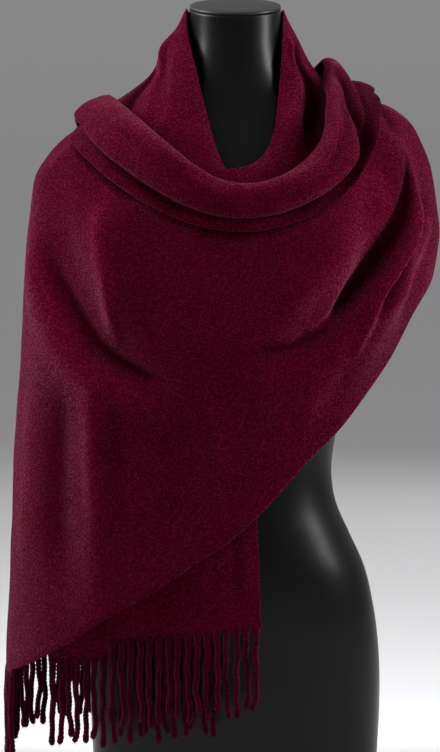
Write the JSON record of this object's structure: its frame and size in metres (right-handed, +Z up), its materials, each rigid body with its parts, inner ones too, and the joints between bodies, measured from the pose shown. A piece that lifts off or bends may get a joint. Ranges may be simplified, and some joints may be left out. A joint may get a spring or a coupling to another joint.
{
  "type": "oblong scarf on a dress form",
  "caption": "Long fringed wool scarf wound round the neck and shoulders of a limbless display torso, with a cowl across the chest, a wide diagonal front and a tail down the back.",
  "frame": {"origin": "middle of the torso's flat base, which stands on the table", "axes": "+Z up along the torso to its neck, -Y towards the front of the torso, +X towards the right of someone who looks at the front"},
  "size_m": [0.4609, 0.3395, 0.8494],
  "materials": {
    "wool": "felted wool, raised nap",
    "torso_gloss": "gloss black lacquer",
    "cap_satin": "satin black"
  },
  "bodies": {
    "root": {"display_torso": "torso_gloss", "neck_cap": "cap_satin", "inner_end_back": "wool", "inner_end_front": "wool", "back_stretch": "wool", "front_stretch": "wool", "tail_stretch": "wool", "collar": "wool", "cowl_lower_fold": "wool", "cowl_roll": "wool", "fringe_inner_back": "wool", "fringe_inner_front": "wool", "fringe_tail": "wool", "fringe_lower_fold": "wool", "fringe_roll": "wool"}
  },
  "joints": []
}
